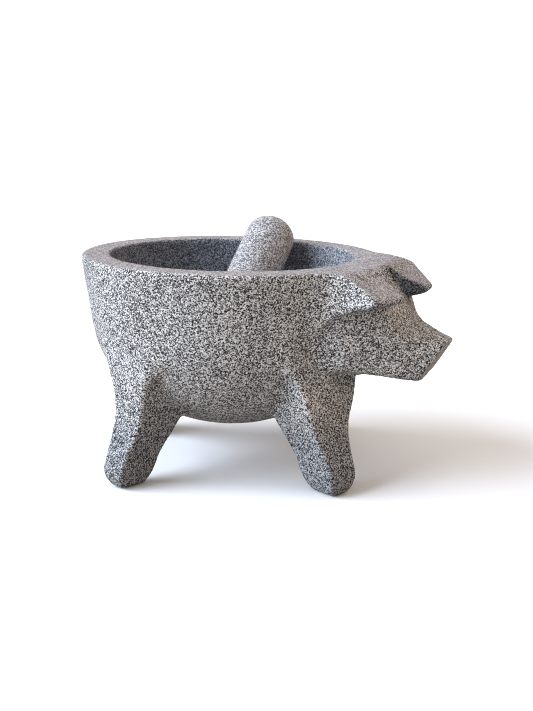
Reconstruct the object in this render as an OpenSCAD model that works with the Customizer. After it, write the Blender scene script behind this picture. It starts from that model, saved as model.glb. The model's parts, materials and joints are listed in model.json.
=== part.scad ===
// Molcajete: a stone mortar carved as a pig, and its loose tejolote.
// Millimetres. +X points the way the pig looks, +Z is up, Z = 0 is the floor
// and the bowl's axis is the Z axis.

/* [Bowl] */
// height of the ground rim above the floor
rim_height = 143; // [110:1:180]
// outer radius just below the rim
rim_radius = 100; // [80:1:130]
// radius of the mouth of the cavity
mouth_radius = 81.2; // [60:0.1:110]
// depth of the cavity below the rim
cavity_depth = 80; // [50:1:100]
// clear height under the belly
belly_clearance = 29; // [10:1:50]
// height where the wall starts to round under
belly_shoulder = 96; // [60:1:110]
// how much the wall leans in, per millimetre of height
wall_taper = 0.155; // [0:0.005:0.3]
// radius of the worn outer rim edge
rim_edge = 3; // [1:0.5:6]

/* [Head] */
// reach of the snout tip ahead of the bowl axis
snout_reach = 151; // [120:1:180]
// height of the snout tip
snout_height = 97.5; // [80:0.5:120]
// height of the underside of the jaw
jaw_height = 69; // [55:1:90]
// half width of the head where it leaves the bowl
cheek_half = 48; // [30:1:60]
// half width of the snout at its tip
snout_half = 17; // [10:0.5:25]

/* [Ears] */
// how far the ears reach ahead of the bowl axis
ear_reach = 131; // [110:1:145]
// how far the right ear spreads from the middle of the head
right_ear_spread = 65; // [50:1:75]
// how far the left ear spreads from the middle of the head
left_ear_spread = 49; // [40:1:70]
// height of the ear tip
ear_tip_height = 128; // [110:1:143]
// thickness of the ear at its tip
ear_tip_thick = 4; // [2:0.5:10]

/* [Legs] */
// half width of a leg across its face
leg_half = 13; // [9:0.5:18]
// how far the toe flares out past the foot centre
toe_flare = 14; // [8:0.5:20]
// height to which the legs run up inside the bowl
leg_top = 84; // [60:1:90]

/* [Tejolote] */
// length of the pestle
pestle_length = 116; // [90:1:140]
// radius of its grinding end
pestle_foot_radius = 25; // [15:0.5:32]
// radius of its handle end
pestle_head_radius = 17.5; // [12:0.5:25]

/* [Hidden] */
$fn = 128;
stone = [0.52, 0.51, 0.51];
stone_loose = [0.60, 0.58, 0.57];

// outer wall: a leaning wall that rounds under along a superellipse
belly_power = 2.08;
function wall_at(z) = rim_radius + 0.8 - wall_taper * (rim_height - z);
function under_at(z) = z >= belly_shoulder ? 0
    : (belly_shoulder - z) / (belly_shoulder - belly_clearance);
function bowl_r(z) = wall_at(z)
    * pow(max(0, 1 - pow(under_at(z), belly_power)), 1 / belly_power);
// heights crowd together near the bottom so the curve stays round
function belly_z(a) = belly_shoulder
    - (belly_shoulder - belly_clearance) * sin(a);
wall_top = rim_height - rim_edge;
bowl_outline = concat(
    [[0, belly_clearance]],
    [for (a = [84:-6:6]) [bowl_r(belly_z(a)), belly_z(a)]],
    [[bowl_r(belly_shoulder), belly_shoulder]],
    [[bowl_r(wall_top), wall_top]],
    [for (a = [20:20:60]) [bowl_r(wall_top) - rim_edge * (1 - cos(a)),
                           wall_top + rim_edge * sin(a)]],
    [[bowl_r(wall_top) - 9, rim_height + 3]],
    [[0, rim_height + 3]]
);

// cavity: a deep round-bottomed hollow with a worn inner lip
cavity_power = 2.3;
lip = 2;
cavity_over = 6;
cavity_span = cavity_depth + cavity_over;
function cavity_r(z) = (mouth_radius + 0.2)
    * pow(max(0, 1 - pow((rim_height + cavity_over - z) / cavity_span,
                         cavity_power)), 1 / cavity_power);
function cavity_z(a) = rim_height + cavity_over - cavity_span * sin(a);
cavity_outline = concat(
    [[0, rim_height - cavity_depth]],
    [for (a = [84:-6:12]) [cavity_r(cavity_z(a)), cavity_z(a)]],
    [[mouth_radius + 0.1, rim_height - lip]],
    [[mouth_radius + 0.4, rim_height - 0.6]],
    [[mouth_radius + 1.2, rim_height]],
    [[mouth_radius + 1.2, rim_height + 20]],
    [[0, rim_height + 20]]
);

// head: side outline (x, z), plan outline (x, y) and front outline (y, z)
neck_x = 62;
jaw_x = snout_reach - 18.2;
brow_z = 140;
head_side = [
    [neck_x, jaw_height], [jaw_x, jaw_height],
    [snout_reach, snout_height], [137, 104], [129.5, 109],
    [122, 120], [104, brow_z], [neck_x, brow_z]
];
head_plan = [
    [neck_x, -cheek_half - 4], [84, -cheek_half],
    [snout_reach + 1, -snout_half + 3], [snout_reach + 1, snout_half - 3],
    [84, cheek_half], [neck_x, cheek_half + 4]
];
jaw_rise = 0.22;
front_outline = [
    [-60, jaw_height + 60 * jaw_rise], [-4, jaw_height],
    [4, jaw_height], [60, jaw_height + 60 * jaw_rise],
    [60, rim_height], [-60, rim_height]
];

// ears: one slab seen from the side; from above, the right wing spreads wide
// and the left one is carved narrower and closer to the middle
ear_crease_x = 94.5;
ear_side = [
    [66, rim_height + 3], [ear_crease_x, rim_height + 3],
    [ear_reach - 1, ear_tip_height + 0.4], [ear_reach, ear_tip_height - 1],
    [ear_reach, ear_tip_height - ear_tip_thick + 1],
    [ear_reach - 1.5, ear_tip_height - ear_tip_thick],
    [66, ear_tip_height - ear_tip_thick - 17]
];
right_wing = [
    [103, -1], [114.5, -15], [ear_reach - 1, -37], [ear_reach, -39.5],
    [ear_reach - 5.5, 9 - right_ear_spread],
    [ear_reach - 11.5, 0.5 - right_ear_spread],
    [ear_reach - 13.5, -right_ear_spread], [98.5, 10 - right_ear_spread],
    [85, 16 - right_ear_spread], [66, 20 - right_ear_spread]
];
left_wing = [
    [66, left_ear_spread - 15], [92, left_ear_spread - 14],
    [109, left_ear_spread], [111, left_ear_spread - 0.8],
    [120, left_ear_spread - 10], [ear_reach - 0.6, 29],
    [ear_reach, 27], [ear_reach - 3, 9.5], [ear_reach - 4.5, 8.6]
];
ear_plan = concat(right_wing, left_wing);

// legs: [foot centre x, foot centre y, width factor]
FEET = [
    [-36, -80.6, 0.95],
    [84.7, -42.2, 1.06],
    [-79, 38, 1.05],
    [33, 88, 1]
];
// radial outline (out from the foot centre, z)
leg_radial = [
    [toe_flare - 6, 0], [toe_flare - 2, 1.2], [toe_flare - 0.4, 4.5],
    [toe_flare, 9], [toe_flare - 0.3, 14], [toe_flare - 1.8, 21],
    [toe_flare - 5, 32], [toe_flare - 8.4, 46], [toe_flare - 10.5, 60],
    [toe_flare - 13.5, 74], [toe_flare - 19, leg_top],
    [-46, leg_top], [-44, 74], [-41, 60], [-35, 46], [-27, 32],
    [-19.5, 20], [-15.5, 12], [-13, 6.5], [-10, 1.8], [-6, 0]
];
// half of the outline across the leg (half width, z)
leg_across = [
    [leg_half - 7.5, 0], [leg_half - 3.5, 1.5], [leg_half - 1.6, 5.5],
    [leg_half - 0.8, 12], [leg_half, 32], [leg_half + 0.8, 50],
    [leg_half + 2, leg_top]
];

// tejolote profile (r, z) from the grinding end up
foot_cap = 14;
head_cap = 15;
pestle_outline = concat(
    [for (a = [0:7.5:90]) [pestle_foot_radius * sin(a),
                           foot_cap * (1 - cos(a))]],
    [for (a = [0:7.5:90]) [pestle_head_radius * cos(a),
                           pestle_length - head_cap + head_cap * sin(a)]]
);
// how it lies in the bowl: foot position and the direction of its axis
pestle_foot = [-9, -6, 74.9];
pestle_lean = 44.8;
pestle_turn = 81;

module bowl_solid() {
    rotate_extrude($fn = 160) polygon(bowl_outline);
}

module cavity() {
    rotate_extrude($fn = 160) polygon(cavity_outline);
}

module across_y(outline, half) {
    translate([0, half, 0]) rotate([90, 0, 0])
        linear_extrude(height = 2 * half) polygon(outline);
}

module along_x(outline, length) {
    rotate([90, 0, 90]) linear_extrude(height = length) polygon(outline);
}

module head() {
    intersection() {
        across_y(head_side, 70);
        linear_extrude(height = 200) polygon(head_plan);
        along_x(front_outline, 200);
    }
}

module ears() {
    intersection() {
        across_y(ear_side, 80);
        linear_extrude(height = 200) polygon(ear_plan);
    }
}

module leg(foot) {
    reach = norm([foot[0], foot[1]]);
    turn = atan2(foot[1], foot[0]);
    wide = foot[2];
    half_outline = concat(
        [for (p = leg_across) [p[0] * wide, p[1]]],
        [for (i = [len(leg_across) - 1:-1:0])
            [-leg_across[i][0] * wide, leg_across[i][1]]]
    );
    rotate([0, 0, turn]) translate([reach, 0, 0])
        intersection() {
            across_y(leg_radial, 40);
            translate([-60, 0, 0]) along_x(half_outline, 100);
        }
}

// the mortar: one block of stone, bowl, head, ears and legs together
module mortar() {
    color(stone)
    difference() {
        union() {
            bowl_solid();
            head();
            ears();
            for (foot = FEET) leg(foot);
        }
        cavity();
        translate([-200, -200, rim_height]) cube([400, 400, 50]);
    }
}

// the loose pestle, lying in the bowl against the far side of the mouth
module tejolote() {
    color(stone_loose)
    translate(pestle_foot)
        rotate([0, 0, pestle_turn]) rotate([0, pestle_lean, 0])
            rotate_extrude($fn = 96) polygon(pestle_outline);
}

mortar();
tejolote();
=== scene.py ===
"""A molcajete: a stone mortar carved as a pig, and the loose tejolote that lies in it.

Shapes are signed distances in millimetres, negative inside the stone, which wrap() turns into a mesh.
+X is the way the pig looks, +Z is up and the bowl's axis is the Z axis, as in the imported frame.
"""
import json
from math import atan2, cos, sin

import bpy
import numpy as np
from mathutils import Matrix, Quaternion, Vector

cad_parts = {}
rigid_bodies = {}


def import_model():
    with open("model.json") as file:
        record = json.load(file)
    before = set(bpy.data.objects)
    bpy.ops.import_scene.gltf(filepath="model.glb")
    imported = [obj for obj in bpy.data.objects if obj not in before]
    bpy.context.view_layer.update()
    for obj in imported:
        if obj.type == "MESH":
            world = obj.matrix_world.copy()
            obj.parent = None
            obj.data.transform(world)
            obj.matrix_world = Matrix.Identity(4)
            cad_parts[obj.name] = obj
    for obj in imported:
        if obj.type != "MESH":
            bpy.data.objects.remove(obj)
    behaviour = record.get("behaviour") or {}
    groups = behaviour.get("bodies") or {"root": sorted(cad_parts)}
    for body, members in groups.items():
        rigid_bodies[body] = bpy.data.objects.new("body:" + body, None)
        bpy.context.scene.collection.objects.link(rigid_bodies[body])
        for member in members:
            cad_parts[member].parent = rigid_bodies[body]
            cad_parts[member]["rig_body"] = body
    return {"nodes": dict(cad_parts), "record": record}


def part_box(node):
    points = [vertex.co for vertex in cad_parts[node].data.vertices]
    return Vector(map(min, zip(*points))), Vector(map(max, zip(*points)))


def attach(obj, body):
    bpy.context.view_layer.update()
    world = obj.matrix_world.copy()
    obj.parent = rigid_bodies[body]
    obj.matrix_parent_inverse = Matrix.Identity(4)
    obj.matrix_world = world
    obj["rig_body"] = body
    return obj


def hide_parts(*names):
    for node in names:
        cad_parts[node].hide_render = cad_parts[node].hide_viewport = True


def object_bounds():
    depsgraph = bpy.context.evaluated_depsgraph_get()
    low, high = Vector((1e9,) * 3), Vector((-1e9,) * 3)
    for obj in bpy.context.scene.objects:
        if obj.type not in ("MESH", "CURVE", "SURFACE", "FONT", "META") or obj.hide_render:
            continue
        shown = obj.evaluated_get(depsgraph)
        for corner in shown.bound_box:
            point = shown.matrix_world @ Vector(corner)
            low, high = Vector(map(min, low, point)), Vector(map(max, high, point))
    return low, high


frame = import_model()
cad_low, cad_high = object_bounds()
MM = 0.001

# ---- driving sizes, from the frame ---------------------------------------------------------------
mortar_low, mortar_high = (np.array(corner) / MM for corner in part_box("mortar"))
RIM = mortar_high[2]  # height of the ground rim
SNOUT = mortar_high[0]  # reach of the snout ahead of the bowl's axis
WALL = -mortar_low[0]  # radius of the wall just under the rim
FEET = {
    mount["name"]: np.array(mount["pos_m"]) / MM
    for mount in frame["record"]["mounts"]
    if mount["name"].startswith("foot_")
}

# ---- bowl ----------------------------------------------------------------------------------------
WALL_TAPER = 0.155  # how much the wall leans in for each millimetre of height
WALL_OVER = 0.5  # the wall's slanting line meets the rim this much outside it, before the edge is rounded
BELLY_HEIGHT = 29.0  # clear height under the belly
BELLY_SHOULDER = 96.0  # height where the wall starts to round under
BELLY_POWER = 2.08  # 2 is an ellipse, more is squarer
RIM_WIDTH = 18.9  # width of the ground ring
MOUTH = WALL - RIM_WIDTH  # radius of the mouth
CAVITY_DEPTH = 80.0
CAVITY_POWER = 2.3  # the same for the cavity
CAVITY_OVER = 6.0  # how far above the rim the cavity's curve begins
RIM_EDGE = 3.0  # rounding of the outer edge of the rim
LIP_EDGE = 2.0  # rounding of the inner edge

# ---- legs: offsets from the foot's centre, at each height ----------------------------------------
LEG_HEIGHTS = [0, 6, 12, 20, 32, 46, 60, 75, 95]
LEG_OUTER = [10, 13.3, 14, 11.5, 6, 1.5, 0.5, -1.5, -14]  # away from the bowl's axis
LEG_INNER = [-8, -12, -14.5, -18, -26.5, -36, -42, -46, -49]
LEG_HALF_WIDTH = [5.5, 8.5, 10.3, 11, 12.5, 14.5, 17, 20, 22]
LEG_WIDTH_FACTORS = {  # at the foot and at the root; no two legs are cut alike
    "foot_front_right": (1.08, 1.28),
    "foot_rear_right": (0.92, 0.88),
    "foot_rear_left": (1.05, 1.0),
    "foot_front_left": (1.0, 1.05),
}
LEG_CORNER = 2.0  # rounding of the corners of a leg's section
LEG_END_EDGE = 3.0  # rounding of the sole's edge and of the leg's hidden top
LEG_LEAN = 0.9  # the faces lean, so the level distance overstates the true one
LEG_ROOT_RADIUS = 89.3  # the tops of all the legs lie as if their feet stood this far out
LEG_ROOT_SPAN = (64, 88)  # heights between which a leg moves over to that root
LEG_WIDTH_SPAN = (30, 65)  # heights between which the width factor changes
LEG_TOP = 100.0  # the top of a leg ends inside the bowl's wall

# ---- head: flat faces, each the direction it faces and a point on it, for the +Y half -------------
SNOUT_DISC = ((28.4, 0, -18.2), (SNOUT, 0, 97.0))
NOSE_BRIDGE = ((0.37, 0.10, 1), (SNOUT, 0, 96.8))
SNOUT_SIDE = ((-0.08, 1, 0.2), (SNOUT, 18, 90))
CHEEK = ((31, 50, -4), (100, 44, 95))
CHEEK_BACK = ((-0.38, 0.9, 0), (95, 50, 95))
JAW = ((-0.04, 0.22, -1), (110, 0, 69.6))
FOREHEAD = ((2.4, 0.3, 1), (119, 0, 122))
CROWN = ((1.06, 0, 1), (101.5, 0, RIM - 2))
HEAD_BACK = 60.0  # the head starts inside the bowl's wall
HEAD_MIDDLE = 0.5  # softens the fold where the two halves meet, in square millimetres
CHEEK_EDGE = 7.0
HEAD_EDGE = 5.0
SNOUT_EDGE = 2.0
SNOUT_BLEND = 6.0  # the cheek runs into the side of the snout
BROW_BLEND = 4.5  # the forehead runs into the nose bridge

# the two ears are carved a little differently: the right one droops outwards, the left one forwards
EAR_RIGHT = {
    "top": ((0.5, 0.10, 1), (98.5, 57, RIM - 2)),
    "inner": ((0.66, -0.75, -0.15), (130.5, 35.5, 139)),
    "outer": ((-0.36, 0.93, 0.0), (119, 66, 130)),
    "corner": ((0.86, 0.51, -0.35), (122, 61, 129)),
    "tip": ((0.96, 0.27, -0.35), (128.5, 46, 128)),
}
EAR_LEFT = {
    "top": ((0.53, -0.033, 1), (103.5, 4, RIM - 1.5)),
    "inner": ((0.27, -0.96, -0.45), (115, 6.0, 135)),
    "outer": ((-0.62, 0.78, 0.0), (110, 50, 139)),
    "corner": ((0.66, 0.75, -0.35), (122, 40.5, 133)),
    "tip": ((0.98, -0.1, -0.3), (132, 20, 128.5)),
}
EAR_UNDER = ((0.27, 0.10, -1), (129, 44, 126))
EAR_BACK = 66.0  # an ear starts inside the bowl's wall
EAR_EDGE = 1.5
EAR_UNDER_EDGE = 2.0
EAR_TIP_EDGE = 3.0

# ---- tejolote ------------------------------------------------------------------------------------
GRIND_RADIUS = 25.0
HANDLE_RADIUS = 17.5
GRIND_CAP = 14.0  # height of the rounded grinding end
HANDLE_CAP = 15.0  # height of the rounded handle end
CAP_POWER = 2  # both ends are ellipses
CAP_EDGE = 1.0

# ---- how the parts run into each other -----------------------------------------------------------
HEAD_BLEND = 18.0
LEG_BLEND = 6.0
LEG_RUNOUT = 12.0  # the outer face of a leg runs out into the wall in a sweep this much longer
LEG_RUNOUT_SPAN = (-8, 2)  # where that sweep sets in, measured out from the outer face
EAR_BLEND = 3.0

# ---- meshing -------------------------------------------------------------------------------------
MORTAR_STEP = 1.6
TEJOLOTE_STEP = 1.25
MARGIN = 4.0  # clear space round a shape in its sampling grid


# ---- distances -----------------------------------------------------------------------------------
def merge(a, b, blend):
    """Union of two distances, with a fillet."""
    share = np.clip(0.5 + 0.5 * (b - a) / blend, 0, 1)
    return b + (a - b) * share - blend * share * (1 - share)


def cut(a, b, blend):
    """Intersection of two distances, with a rounded edge."""
    return -merge(-a, -b, blend)


def ease(value, start, end):
    """0 below start, 1 above end, smooth between."""
    t = np.clip((value - start) / (end - start), 0, 1)
    return t * t * (3 - 2 * t)


def face(x, y, z, plane):
    """Distance to a flat face."""
    direction, point = (np.array(v, float) for v in plane)
    direction = direction / np.linalg.norm(direction)
    return (x - point[0]) * direction[0] + (y - point[1]) * direction[1] + (z - point[2]) * direction[2]


def curve(z, heights, values):
    """A smooth curve through values at the given heights."""
    heights, values = np.array(heights, float), np.array(values, float)
    z = np.clip(z, heights[0], heights[-1])
    k = np.clip(np.searchsorted(heights, z, side="right") - 1, 0, len(heights) - 2)
    rise = np.gradient(values, heights)
    span = heights[k + 1] - heights[k]
    t = (z - heights[k]) / span
    share = t * t * (3 - 2 * t)
    bend = t * (1 - t) * span * ((1 - t) * rise[k] - t * rise[k + 1])
    return values[k] * (1 - share) + values[k + 1] * share + bend


def dish(radius, z, wide, top, depth, power):
    """Distance to a round bottom: wide is its radius at the height top, and depth how far it goes down."""
    across = radius / wide
    down = np.maximum(top - z, 0) / depth
    level = np.maximum((across**power + down**power) ** (1 / power), 1e-3)
    growth_across = (across / level) ** (power - 1) / wide
    growth_down = (down / level) ** (power - 1) / depth
    return (level - 1) / (np.sqrt(growth_across**2 + growth_down**2) + 1e-4)


def bowl(x, y, z):
    """Distance to the outside of the bowl, without its rim."""
    wide = WALL + WALL_OVER - WALL_TAPER * np.maximum(RIM - z, 0)
    return dish(np.sqrt(x * x + y * y), z, wide, BELLY_SHOULDER, BELLY_SHOULDER - BELLY_HEIGHT, BELLY_POWER)


def cavity(x, y, z):
    """Distance to the cavity of the bowl, negative in the open space."""
    top = RIM + CAVITY_OVER
    return dish(np.sqrt(x * x + y * y), z, MOUTH, top, CAVITY_DEPTH + CAVITY_OVER, CAVITY_POWER)


def leg(x, y, z, name):
    """Distance to a leg, and how far outside its outer face a point lies."""
    foot = FEET[name]
    turn = atan2(foot[1], foot[0])
    out = (x - foot[0]) * cos(turn) + (y - foot[1]) * sin(turn)
    across = -(x - foot[0]) * sin(turn) + (y - foot[1]) * cos(turn)
    root_shift = np.hypot(foot[0], foot[1]) - LEG_ROOT_RADIUS
    outer = curve(z, LEG_HEIGHTS, LEG_OUTER) - root_shift * ease(z, *LEG_ROOT_SPAN)
    inner = curve(z, LEG_HEIGHTS, LEG_INNER)
    at_foot, at_root = LEG_WIDTH_FACTORS[name]
    factor = at_foot + (at_root - at_foot) * ease(z, *LEG_WIDTH_SPAN)
    half = curve(z, LEG_HEIGHTS, LEG_HALF_WIDTH) * factor
    over_out = np.abs(out - (outer + inner) / 2) - (outer - inner) / 2 + LEG_CORNER
    over_across = np.abs(across) - half + LEG_CORNER
    corner = np.sqrt(np.maximum(over_out, 0) ** 2 + np.maximum(over_across, 0) ** 2)
    section = corner + np.minimum(np.maximum(over_out, over_across), 0) - LEG_CORNER
    limb = cut(section * LEG_LEAN, -z, LEG_END_EDGE)
    return cut(limb, z - LEG_TOP, LEG_END_EDGE), out - outer


def head(x, y, z):
    """Distance to the pig's head, whose two halves are alike."""
    y = np.sqrt(y * y + HEAD_MIDDLE)
    cheek = cut(face(x, y, z, CHEEK), face(x, y, z, CHEEK_BACK), CHEEK_EDGE)
    sides = merge(cheek, face(x, y, z, SNOUT_SIDE), SNOUT_BLEND)
    muzzle = cut(face(x, y, z, NOSE_BRIDGE), sides, HEAD_EDGE)
    skull = cut(face(x, y, z, FOREHEAD), cheek, HEAD_EDGE)
    skull = cut(skull, face(x, y, z, CROWN), HEAD_EDGE)
    whole = cut(merge(muzzle, skull, BROW_BLEND), face(x, y, z, JAW), HEAD_EDGE)
    whole = cut(whole, face(x, y, z, SNOUT_DISC), SNOUT_EDGE)
    return np.maximum(whole, HEAD_BACK - x)


def ear(x, out, z, faces):
    """One ear; out is the distance from the head's middle towards it."""
    wing = cut(face(x, out, z, faces["top"]), face(x, out, z, faces["outer"]), EAR_EDGE)
    wing = cut(wing, face(x, out, z, faces["inner"]), EAR_EDGE)
    wing = cut(wing, face(x, out, z, faces["corner"]), EAR_TIP_EDGE)
    wing = cut(wing, face(x, out, z, faces["tip"]), EAR_TIP_EDGE)
    wing = cut(wing, face(x, out, z, EAR_UNDER), EAR_UNDER_EDGE)
    return np.maximum(wing, EAR_BACK - x)


def mortar(x, y, z):
    """Distance to the whole mortar, which is one stone."""
    pig = merge(head(x, y, z), ear(x, -y, z, EAR_RIGHT), EAR_BLEND)
    pig = merge(pig, ear(x, y, z, EAR_LEFT), EAR_BLEND)
    legged = bowl(x, y, z)
    stone = merge(legged, pig, HEAD_BLEND)
    for name in FEET:
        limb, outwards = leg(x, y, z, name)
        sweep = LEG_BLEND + LEG_RUNOUT * ease(outwards, *LEG_RUNOUT_SPAN)
        legged = merge(legged, limb, sweep)
    stone = np.minimum(stone, legged)
    stone = cut(stone, z - RIM, RIM_EDGE)
    return cut(stone, -cavity(x, y, z), LIP_EDGE)


# ---- meshing a distance --------------------------------------------------------------------------
def wrap(distance, low, high, step):
    """A net of quads on the zero level of a distance: one point in each grid cell that it crosses."""
    axes = [np.arange(a - MARGIN, b + MARGIN + step, step) for a, b in zip(low, high)]
    grid = np.meshgrid(*axes, indexing="ij", sparse=True)
    level = np.broadcast_to(distance(*grid), [len(a) for a in axes])
    inside = level < 0
    corners = [(i, j, k) for i in (0, 1) for j in (0, 1) for k in (0, 1)]
    cells = [len(a) - 1 for a in axes]
    count = np.zeros(cells, np.int8)
    for i, j, k in corners:
        count += inside[i : i + cells[0], j : j + cells[1], k : k + cells[2]]
    cell = np.argwhere((count > 0) & (count < 8))
    value = {c: level[tuple((cell + c).T)] for c in corners}
    total = np.zeros((len(cell), 3))
    crossings = np.zeros(len(cell))
    for start in corners:
        for axis in range(3):
            if start[axis]:
                continue
            end = tuple(1 if n == axis else start[n] for n in range(3))
            a, b = value[start], value[end]
            crossed = (a < 0) != (b < 0)
            point = np.tile(np.array(start, float), (len(cell), 1))
            point[:, axis] = np.where(crossed, a / np.where(crossed, a - b, 1), 0)
            total += point * crossed[:, None]
            crossings += crossed
    points = (cell + total / crossings[:, None]) * step + [a[0] for a in axes]
    number = np.full(cells, -1)
    number[tuple(cell.T)] = np.arange(len(cell))
    quads = []
    for axis in range(3):
        side, up = (axis + 1) % 3, (axis + 2) % 3
        here = np.moveaxis(inside, (axis, side, up), (0, 1, 2))
        around = np.moveaxis(number, (axis, side, up), (0, 1, 2))
        first, second = here[:-1, 1:-1, 1:-1], here[1:, 1:-1, 1:-1]
        for edges, flipped in ((first & ~second, False), (~first & second, True)):
            i, j, k = np.nonzero(edges)
            ring = [around[i, j, k], around[i, j + 1, k], around[i, j + 1, k + 1], around[i, j, k + 1]]
            quads.append(np.stack(ring[::-1] if flipped else ring, axis=1))
    return points, np.concatenate(quads)


def slope(distance, points, reach=0.05):
    """Direction in which a distance grows, at each point."""
    columns = []
    for axis in range(3):
        offset = np.zeros(3)
        offset[axis] = reach
        columns.append(distance(*(points + offset).T) - distance(*(points - offset).T))
    return np.stack(columns, axis=1) / (2 * reach)


def settle(distance, points, quads, rounds=3):
    """Evens the net out and pulls it onto the zero level."""
    edges = np.concatenate([quads[:, [n, (n + 1) % 4]] for n in range(4)])
    degree = np.bincount(edges.ravel(), minlength=len(points))
    for _ in range(rounds):
        pull = np.zeros_like(points)
        for axis in range(3):
            for end, other in ((0, 1), (1, 0)):
                pull[:, axis] += np.bincount(edges[:, end], points[edges[:, other], axis], len(points))
        points = points * 0.5 + pull / degree[:, None] * 0.5  # half way to the middle of the neighbours
        for _ in range(2):
            grow = slope(distance, points)
            steepness = np.maximum((grow**2).sum(1), 0.2)
            points = points - grow * (distance(*points.T) / steepness)[:, None]
    return points


def unit(vectors):
    """The same directions, one long."""
    return vectors / np.maximum(np.linalg.norm(vectors, axis=1, keepdims=True), 1e-9)


# ---- the hand of the carver ----------------------------------------------------------------------
LATTICE = 32  # lumps before the noise repeats
SWELL_SIZE = 26.0
MORTAR_SWELL = 0.3
TEJOLOTE_SWELL = 0.12  # the tejolote is worn smoother
LUMPS = ((9.0, 0.14), (3.6, 0.09))  # size and depth of the finer roughness
DIMPLE_SIZE = 5.2
DIMPLE_DEPTH = 0.35
DIMPLE_FLOOR = 0.55  # only the part of the noise above this digs in
GROUND_CALM = 0.6  # how much less a ground face is carved


def ripple(points, size, seed):
    """Smooth noise between -1 and 1, with lumps of about the given size."""
    lattice = np.random.default_rng(seed).uniform(-1, 1, (LATTICE, LATTICE, LATTICE))
    at = points / size + 100
    corner = np.floor(at).astype(int)
    t = at - corner
    t = t * t * (3 - 2 * t)
    total = np.zeros(len(points))
    for i in (0, 1):
        for j in (0, 1):
            for k in (0, 1):
                near = (corner + (i, j, k)) % LATTICE
                share = np.abs(1 - i - t[:, 0]) * np.abs(1 - j - t[:, 1]) * np.abs(1 - k - t[:, 2])
                total += lattice[tuple(near.T)] * share
    return total


def carve(points, normals, swell):
    """Moves the surface a little along its normal: slow swells, chisel dimples and fine roughness."""
    depth = swell * ripple(points, SWELL_SIZE, 1)
    for seed, (size, height) in enumerate(LUMPS, 2):
        depth += height * ripple(points, size, seed)
    depth -= DIMPLE_DEPTH * np.clip(ripple(points, DIMPLE_SIZE, 4) - DIMPLE_FLOOR, 0, 1)
    return points + normals * depth[:, None]


# ---- where the stone is ground smooth, and where shade is painted on it ---------------------------
SKIN = 3.0  # a mask ends this far from the surface that it marks
SKIN_FADE = 2.0  # and fades out over this last stretch

GROUND_FACING = (0.72, 0.93)  # a surface that looks up this much is ground smooth
GROUND_HEIGHT = (104, 112)  # from this height up: the rim and the tops of the ears
CAVITY_WEAR = 0.55  # the cavity is worn about half as smooth

# painted shade in the cavity: darker and bluer, and deeper still towards its rear
CAVITY_SHADE = 0.7
CAVITY_REAR_SHADE = 0.18  # added towards the rear of the cavity
CAVITY_REAR = (-10, 70)  # where that comes in, measured behind the bowl's axis

# painted shade low on the legs, near the floor and under the belly
LEG_SHADE = 0.62
LEG_SHADE_TOP = 60.0  # the legs take painted shade below this height
LEG_SHADE_FADE = 34.0  # and fully so this much lower
LEG_SHADE_RADIUS = (48, 70)  # the belly further in stays clear

REAR_SHADE = 0.42  # painted shade on the rear of the wall, as a share of the legs' painted shade
REAR_SHADE_TOP = 108.0
REAR_SHADE_FADE = 50.0
REAR_SHADE_BEHIND = (20, 75)  # where it comes in, measured behind the bowl's axis

EAR_SIDE_SKIN = 2.5  # the same for the painted shade on the left ear's inner face
EAR_SIDE_FADE = 1.5
EAR_SIDE_AHEAD = (104, 108)  # the part of the left ear's inner face that stands clear of the head
EAR_SIDE_HEIGHT = (114, 119)

# painted shade under the ears' front edges, over the cheeks
EAR_UNDER_SHADE = 0.6
EAR_UNDER_AHEAD = (98, 106)  # the part of the ears' undersides that stands clear of the head
EAR_UNDER_ASIDE = (22, 32)

TEJOLOTE_WEAR = 0.65
TEJOLOTE_END_WEAR = 0.3  # added at both ends
TEJOLOTE_ENDS = (0.3, 0.5)  # where that comes in, from the middle, as a share of the length


def near(distance, reach, fade):
    """1 on a surface, 0 beyond reach from it, smooth between."""
    return ease(reach - np.abs(distance), 0, fade)


def ground_top(points, normals):
    """1 on the rim and the tops of the ears, which are ground flat."""
    return ease(normals[:, 2], *GROUND_FACING) * ease(points[:, 2], *GROUND_HEIGHT)


def mortar_masks(points, top):
    """How smooth each point is worn, and how much of each painted shade in DARKER it takes."""
    x, y, z = points.T
    inside = near(cavity(x, y, z), SKIN, SKIN_FADE)
    inside_shade = CAVITY_SHADE + CAVITY_REAR_SHADE * ease(-x, *CAVITY_REAR)

    legs = ease(LEG_SHADE_TOP - z, 0, LEG_SHADE_FADE) * ease(np.hypot(x, y), *LEG_SHADE_RADIUS)
    rear = REAR_SHADE * ease(REAR_SHADE_TOP - z, 0, REAR_SHADE_FADE) * ease(-x, *REAR_SHADE_BEHIND)

    ear_side = near(face(x, y, z, EAR_LEFT["inner"]), EAR_SIDE_SKIN, EAR_SIDE_FADE) * (y > 0)
    ear_side = ear_side * ease(x, *EAR_SIDE_AHEAD) * ease(z, *EAR_SIDE_HEIGHT)

    aside = np.abs(y)
    under_ears = near(face(x, aside, z, EAR_UNDER), SKIN, SKIN_FADE)
    under_ears = under_ears * ease(x, *EAR_UNDER_AHEAD) * ease(aside, *EAR_UNDER_ASIDE)
    ears = (1 - top) * np.maximum(ear_side, EAR_UNDER_SHADE * under_ears)

    # the first mask is real wear; the second and third are painted shade, darkening the cavity, the low
    # legs, the rear wall and the ears
    return {
        "ground": np.maximum(top, CAVITY_WEAR * inside),
        "hollow": inside_shade * inside * (1 - top),
        "outer_shade": np.maximum(LEG_SHADE * np.maximum(legs, rear), ears),
    }


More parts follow.
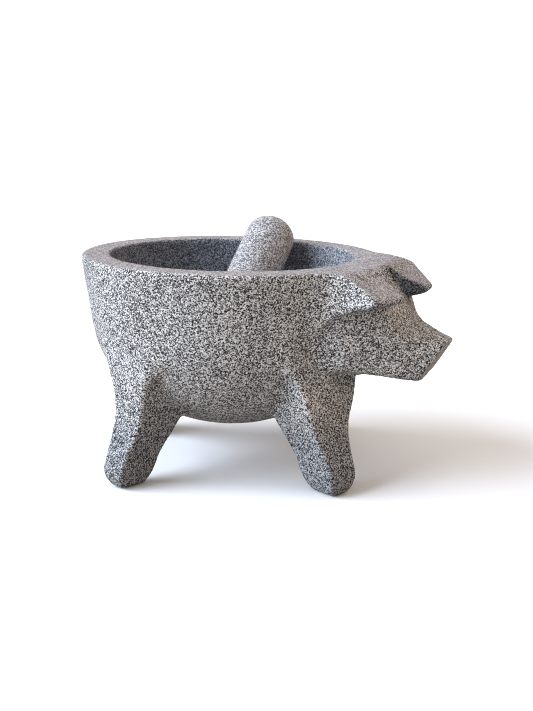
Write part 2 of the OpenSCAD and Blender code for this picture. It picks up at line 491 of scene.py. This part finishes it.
# ---- materials -----------------------------------------------------------------------------------
# the colour of a grain, from the darkest to the palest
WALL_STONE = [
    (0.28, (0.02, 0.02, 0.02)),
    (0.42, (0.10, 0.10, 0.10)),
    (0.5, (0.23, 0.23, 0.23)),
    (0.58, (0.41, 0.41, 0.405)),
    (0.74, (0.76, 0.76, 0.75)),
]
GROUND_STONE = [  # the mortar where it is ground smooth
    (0.26, (0.12, 0.11, 0.112)),
    (0.42, (0.225, 0.21, 0.215)),
    (0.5, (0.30, 0.285, 0.29)),
    (0.58, (0.385, 0.37, 0.375)),
    (0.74, (0.56, 0.54, 0.545)),
]
LOOSE_STONE = [  # the tejolote where it is worn smooth, a little paler
    (0.26, (0.135, 0.133, 0.14)),
    (0.42, (0.25, 0.248, 0.26)),
    (0.5, (0.325, 0.322, 0.335)),
    (0.58, (0.41, 0.405, 0.42)),
    (0.74, (0.59, 0.585, 0.605)),
]
DARKER = {  # painted shade: what the colour is multiplied by where a mask is 1
    # painted shade in the cavity
    "hollow": (0.34, 0.42, 0.54),
    # painted shade on the legs, the rear of the wall and the ears
    "outer_shade": (0.38, 0.42, 0.48),
}
CLOUDS = [(0.3, (0.86, 0.86, 0.87)), (0.7, (1.0, 0.99, 0.98))]  # slow patches over the whole stone
CLOUD_SCALE = 45.0
GRAIN = 0.72  # size of the larger grains
FINE_GRAIN = 0.72  # the smaller ones, as a share of the larger
GRAIN_SHARE = 0.58
FINE_GRAIN_SHARE = 0.42
RELIEF = 0.35  # depth of the grains


class Shader:
    """Adds nodes to a material and links them."""

    def __init__(self, name):
        self.material = bpy.data.materials.new(name)
        self.material.use_nodes = True
        self.tree = self.material.node_tree
        self.surface = self.tree.nodes["Principled BSDF"]
        self.place = self.add("ShaderNodeTexCoord").outputs["Object"]

    def add(self, kind, inputs=None, **settings):
        node = self.tree.nodes.new(kind)
        for key, value in settings.items():
            setattr(node, key, value)
        for key, value in (inputs or {}).items():
            if isinstance(value, bpy.types.NodeSocket):
                self.tree.links.new(value, node.inputs[key])
            else:
                node.inputs[key].default_value = value
        return node

    def ramp(self, factor, stops):
        node = self.add("ShaderNodeValToRGB", {"Fac": factor})
        elements = node.color_ramp.elements
        while len(elements) < len(stops):
            elements.new(0.5)
        for element, (position, colour) in zip(elements, stops):
            element.position = position
            element.color = (*colour, 1)
        return node.outputs["Color"]

    def mix(self, factor, a, b, blend="MIX"):
        node = self.add("ShaderNodeMix", data_type="RGBA", blend_type=blend)
        for socket, value in (("Factor_Float", factor), ("A_Color", a), ("B_Color", b)):
            target = next(s for s in node.inputs if s.identifier == socket)
            if isinstance(value, bpy.types.NodeSocket):
                self.tree.links.new(value, target)
            else:
                target.default_value = value if isinstance(value, float) else (*value, 1)
        return next(s for s in node.outputs if s.identifier == "Result_Color")

    def math(self, operation, a, b=0.0):
        return self.add("ShaderNodeMath", {0: a, 1: b}, operation=operation).outputs[0]


def grains(shader, size):
    """A random number for each grain of the given size, with the edges of the grains roughened."""
    grain = size * MM
    wander = shader.add("ShaderNodeTexNoise", {"Vector": shader.place, "Scale": 0.9 / grain, "Detail": 1.0})
    reach = (grain * 1.2,) * 3
    nudge = shader.add("ShaderNodeVectorMath", {0: wander.outputs["Color"], 1: reach}, operation="MULTIPLY")
    place = shader.add("ShaderNodeVectorMath", {0: shader.place, 1: nudge.outputs[0]}, operation="ADD")
    cells = shader.add("ShaderNodeTexVoronoi", {"Vector": place.outputs[0], "Scale": 1 / grain})
    return shader.add("ShaderNodeSeparateColor", {"Color": cells.outputs["Color"]}).outputs["Red"]


def basalt(name, ground_stops):
    """Speckled volcanic stone: rough grains, and a finer paler look where "ground" is 1."""
    shader = Shader(name)
    large = grains(shader, GRAIN)
    small = grains(shader, GRAIN * FINE_GRAIN)
    large_part = shader.math("MULTIPLY", large, GRAIN_SHARE)
    small_part = shader.math("MULTIPLY", small, FINE_GRAIN_SHARE)
    speck = shader.math("ADD", large_part, small_part)
    rough_colour = shader.ramp(speck, WALL_STONE)
    ground_colour = shader.ramp(speck, ground_stops)
    worn = shader.add("ShaderNodeAttribute", attribute_name="ground").outputs["Fac"]
    colour = shader.mix(worn, rough_colour, ground_colour)
    cloud = shader.add("ShaderNodeTexNoise", {"Vector": shader.place, "Scale": CLOUD_SCALE, "Detail": 3.0})
    shade = shader.ramp(cloud.outputs["Fac"], CLOUDS)
    colour = shader.mix(1.0, colour, shade, "MULTIPLY")
    # painted shade: each mask darkens and cools the colour by its entry in DARKER
    for mask, shade_colour in DARKER.items():
        share = shader.add("ShaderNodeAttribute", attribute_name=mask).outputs["Fac"]
        colour = shader.mix(share, colour, shader.mix(1.0, colour, shade_colour, "MULTIPLY"))
    shader.tree.links.new(colour, shader.surface.inputs["Base Color"])
    # the paler a grain is, the less rough it is
    limits = {"From Min": 0.2, "From Max": 0.8, "To Min": 0.95, "To Max": 0.78}
    roughness = shader.add("ShaderNodeMapRange", {"Value": speck, **limits})
    shader.tree.links.new(roughness.outputs["Result"], shader.surface.inputs["Roughness"])
    relief = shader.add("ShaderNodeBump", {"Strength": 0.5, "Distance": RELIEF * MM, "Height": speck})
    shader.tree.links.new(relief.outputs["Normal"], shader.surface.inputs["Normal"])
    shader.surface.inputs["Specular IOR Level"].default_value = 0.25
    return shader.material


# ---- pieces --------------------------------------------------------------------------------------
def piece(name, points, quads, masks, material, node):
    """A mesh object in place of a CAD node, riding on its body."""
    mesh = bpy.data.meshes.new(name)
    mesh.from_pydata((points * MM).tolist(), [], quads.tolist())
    mesh.polygons.foreach_set("use_smooth", np.ones(len(quads), bool))
    for mask, values in masks.items():
        mesh.attributes.new(mask, "FLOAT", "POINT").data.foreach_set("value", values.astype(np.float32))
    mesh.materials.append(material)
    obj = bpy.data.objects.new(name, mesh)
    bpy.context.scene.collection.objects.link(obj)
    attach(obj, frame["nodes"][node]["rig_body"])
    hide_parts(node)
    return obj


def make_mortar(material):
    points, quads = wrap(mortar, mortar_low, mortar_high, MORTAR_STEP)
    points = settle(mortar, points, quads)
    normals = unit(slope(mortar, points))
    top = ground_top(points, normals)
    masks = mortar_masks(points, top)
    points = carve(points, normals * (1 - GROUND_CALM * top)[:, None], MORTAR_SWELL)
    points[:, 2] = np.maximum(points[:, 2], 0)  # nothing goes below the floor
    return piece("mortar_stone", points, quads, masks, material, "mortar")


def tejolote_axis():
    """Foot point, direction and length of the CAD's tejolote, which is round about one axis."""
    corners = np.array([v.co for v in frame["nodes"]["tejolote"].data.vertices]) / MM
    longest = np.linalg.svd(corners - corners.mean(0), full_matrices=False)[2][0]
    along = corners @ longest * np.sign(longest[2])
    foot, head = corners[along.argmin()], corners[along.argmax()]
    length = np.linalg.norm(head - foot)
    return foot, (head - foot) / length, length


def make_tejolote(material):
    foot, direction, length = tejolote_axis()

    def pestle(x, y, z):
        """Distance to the tejolote, standing on its grinding end."""
        radius = np.sqrt(x * x + y * y)
        side = radius - (GRIND_RADIUS - (GRIND_RADIUS - HANDLE_RADIUS) * np.clip(z / length, 0, 1))
        grinding_end = dish(radius, z, GRIND_RADIUS, GRIND_CAP, GRIND_CAP, CAP_POWER)
        handle_end = dish(radius, -z, HANDLE_RADIUS, HANDLE_CAP - length, HANDLE_CAP, CAP_POWER)
        return cut(cut(side, grinding_end, CAP_EDGE), handle_end, CAP_EDGE)

    low = (-GRIND_RADIUS, -GRIND_RADIUS, 0)
    high = (GRIND_RADIUS, GRIND_RADIUS, length)
    points, quads = wrap(pestle, low, high, TEJOLOTE_STEP)
    points = settle(pestle, points, quads)
    points = carve(points, unit(slope(pestle, points)), TEJOLOTE_SWELL)
    ends = ease(np.abs(points[:, 2] / length - 0.5), *TEJOLOTE_ENDS)
    # the tejolote takes no painted shade
    unshaded = np.zeros(len(points))
    masks = {"ground": TEJOLOTE_WEAR + TEJOLOTE_END_WEAR * ends, "hollow": unshaded, "outer_shade": unshaded}
    turn = Vector(direction).to_track_quat("Z", "Y").to_matrix()
    points = points @ np.array(turn).T + foot
    return piece("tejolote_stone", points, quads, masks, material, "tejolote")


# ---- studio --------------------------------------------------------------------------------------
CAMERA_PLACE = (306.15, -739.1, 249.3)
CAMERA_AIM = (22.17, 9.18, 72.9)
CAMERA_ROLL = 0.01845  # radians
CAMERA_LENS = 60.57
FLOOR_REACH = 30.0  # metres
FLOOR_DROP = 0.2  # the floor lies this much under the soles
FLOOR_PAPER = [(0.0, (0.865, 0.89, 0.915)), (1.0, (0.9, 0.925, 0.95))]  # what the camera sees
FLOOR_BOUNCE = (0.44, 0.41, 0.38)  # what it throws back onto the stone
GLOW_COLOUR = (1.07, 0.975, 0.91, 1)
GLOW_LOW = 0.2  # strength at the horizon and below
GLOW_HIGH = 0.95  # strength overhead


def make_camera():
    data = bpy.data.cameras.new("camera")
    camera = bpy.data.objects.new("camera", data)
    bpy.context.scene.collection.objects.link(camera)
    data.sensor_width = 36
    data.lens = CAMERA_LENS
    data.clip_start = 0.05
    data.clip_end = 100
    place = Vector(CAMERA_PLACE) * MM
    aim = Vector(CAMERA_AIM) * MM
    roll = Quaternion((0, 0, 1), CAMERA_ROLL)
    camera.location = place
    camera.rotation_mode = "QUATERNION"
    camera.rotation_quaternion = (aim - place).to_track_quat("-Z", "Y") @ roll
    bpy.context.scene.camera = camera


def make_floor():
    mesh = bpy.data.meshes.new("floor")
    height = cad_low.z - FLOOR_DROP * MM
    signs = ((-1, -1), (1, -1), (1, 1), (-1, 1))
    corners = [(x * FLOOR_REACH, y * FLOOR_REACH, height) for x, y in signs]
    mesh.from_pydata(corners, [], [(0, 1, 2, 3)])
    shader = Shader("floor_white")
    dust = shader.add("ShaderNodeTexNoise", {"Vector": shader.place, "Scale": 3.0})
    paper = shader.ramp(dust.outputs["Fac"], FLOOR_PAPER)
    seen = shader.add("ShaderNodeLightPath").outputs["Is Camera Ray"]
    shade = shader.mix(seen, FLOOR_BOUNCE, paper)
    shader.tree.links.new(shade, shader.surface.inputs["Base Color"])
    shader.surface.inputs["Roughness"].default_value = 0.9
    shader.surface.inputs["Specular IOR Level"].default_value = 0.1
    mesh.materials.append(shader.material)
    floor = bpy.data.objects.new("floor", mesh)
    bpy.context.scene.collection.objects.link(floor)


def make_sun(name, towards, strength, colour, spread):
    """A far soft light that shines from the given direction."""
    data = bpy.data.lights.new(name, "SUN")
    data.energy = strength
    data.color = colour
    data.angle = spread
    sun = bpy.data.objects.new(name, data)
    sun.rotation_mode = "QUATERNION"
    sun.rotation_quaternion = Vector(towards).to_track_quat("Z", "Y")
    bpy.context.scene.collection.objects.link(sun)


def make_world():
    """A white backdrop for the camera, and a warm glow from above that lights the stone."""
    world = bpy.data.worlds.new("studio")
    bpy.context.scene.world = world
    world.use_nodes = True
    tree = world.node_tree
    glow = tree.nodes["Background"]
    backdrop = tree.nodes.new("ShaderNodeBackground")
    way = tree.nodes.new("ShaderNodeTexCoord")
    split = tree.nodes.new("ShaderNodeSeparateXYZ")
    height = tree.nodes.new("ShaderNodeMapRange")
    height.inputs["To Min"].default_value = GLOW_LOW
    height.inputs["To Max"].default_value = GLOW_HIGH
    glow.inputs["Color"].default_value = GLOW_COLOUR
    tree.links.new(way.outputs["Generated"], split.inputs[0])
    tree.links.new(split.outputs["Z"], height.inputs["Value"])
    tree.links.new(height.outputs["Result"], glow.inputs["Strength"])
    backdrop.inputs["Color"].default_value = (1, 1, 1, 1)
    backdrop.inputs["Strength"].default_value = 1.0
    seen = tree.nodes.new("ShaderNodeLightPath")
    mix = tree.nodes.new("ShaderNodeMixShader")
    tree.links.new(seen.outputs["Is Camera Ray"], mix.inputs["Fac"])
    tree.links.new(glow.outputs[0], mix.inputs[1])
    tree.links.new(backdrop.outputs[0], mix.inputs[2])
    tree.links.new(mix.outputs[0], tree.nodes["World Output"].inputs["Surface"])


make_camera()
make_world()
make_floor()
make_sun("window", towards=(-0.8, -0.6, 0.5), strength=5.6, colour=(0.85, 0.95, 1.1), spread=1.0)
make_sun("room", towards=(0.95, 0.25, 0.2), strength=0.7, colour=(1.25, 0.8, 0.45), spread=1.2)
bpy.context.scene.view_settings.view_transform = "Standard"
bpy.context.scene.cycles.filter_width = 1.0
bpy.context.scene.cycles.denoising_prefilter = "NONE"

make_mortar(basalt("basalt", GROUND_STONE))
make_tejolote(basalt("basalt_loose", LOOSE_STONE))
